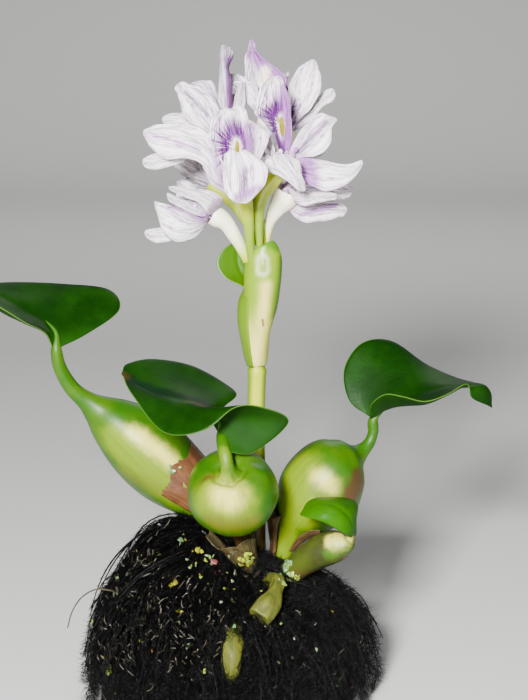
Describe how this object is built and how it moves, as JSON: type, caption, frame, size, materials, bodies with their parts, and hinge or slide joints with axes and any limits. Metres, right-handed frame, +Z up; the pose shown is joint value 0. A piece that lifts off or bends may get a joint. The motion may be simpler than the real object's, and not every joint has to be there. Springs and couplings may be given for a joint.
{
  "type": "water hyacinth plant",
  "caption": "Floating pond plant with swollen leaf stalks, glossy rounded leaves, a spike of pale lilac flowers and a mound of feathery dark roots, on which it stands.",
  "frame": {"origin": "on the ground under the crown, in the plane of the flat underside of the roots", "axes": "+Z up along the flower stalk, -Y towards the front of the plant, +X to its right as seen from the front"},
  "size_m": [0.24, 0.122, 0.3028],
  "materials": {
    "roots": "wet, dark and feathery",
    "crown": "rough and brown",
    "runner": "satin, dull green",
    "float_skin": "glossy, smooth and green",
    "leaf_blade": "glossy, deep green",
    "sheath": "matte, withered and pinkish brown",
    "flower_stalk": "satin, pale green",
    "bract": "satin, cream to green",
    "flower_tube": "satin, cream",
    "petal": "soft, pale lilac"
  },
  "bodies": {
    "root": {"back_left_flower": "petal", "back_right_flower": "petal", "blade_front": "leaf_blade", "blade_left": "leaf_blade", "blade_right": "leaf_blade", "blade_young": "leaf_blade", "float_front": "float_skin", "float_left": "float_skin", "float_right": "float_skin", "float_young": "float_skin", "front_flower_banner_petal": "petal", "front_flower_petal_1": "petal", "front_flower_petal_2": "petal", "front_flower_petal_3": "petal", "front_flower_petal_4": "petal", "front_flower_petal_5": "petal", "front_flower_tube": "flower_tube", "left_flower_banner_petal": "petal", "left_flower_petal_1": "petal", "left_flower_petal_2": "petal", "left_flower_petal_3": "petal", "left_flower_petal_4": "petal", "left_flower_petal_5": "petal", "left_flower_tube": "flower_tube", "low_right_flower_banner_petal": "petal", "low_right_flower_petal_1": "petal", "low_right_flower_petal_2": "petal", "low_right_flower_petal_3": "petal", "low_right_flower_petal_4": "petal", "low_right_flower_petal_5": "petal", "low_right_flower_tube": "flower_tube", "lower_spathe": "bract", "old_stolon": "runner", "peduncle": "flower_stalk", "rhizome": "crown", "right_flower_banner_petal": "petal", "right_flower_petal_1": "petal", "right_flower_petal_2": "petal", "right_flower_petal_3": "petal", "right_flower_petal_4": "petal", "right_flower_petal_5": "petal", "right_flower_tube": "flower_tube", "root_mass": "roots", "sheath_front": "sheath", "sheath_left": "sheath", "sheath_right": "sheath", "stolon_stub": "runner", "top_flower": "petal", "top_left_flower_banner_petal": "petal", "top_left_flower_petal_1": "petal", "top_left_flower_petal_2": "petal", "top_left_flower_petal_3": "petal", "top_left_flower_petal_4": "petal", "top_left_flower_petal_5": "petal", "top_left_flower_tube": "flower_tube", "upper_spathe": "bract"}
  },
  "joints": []
}
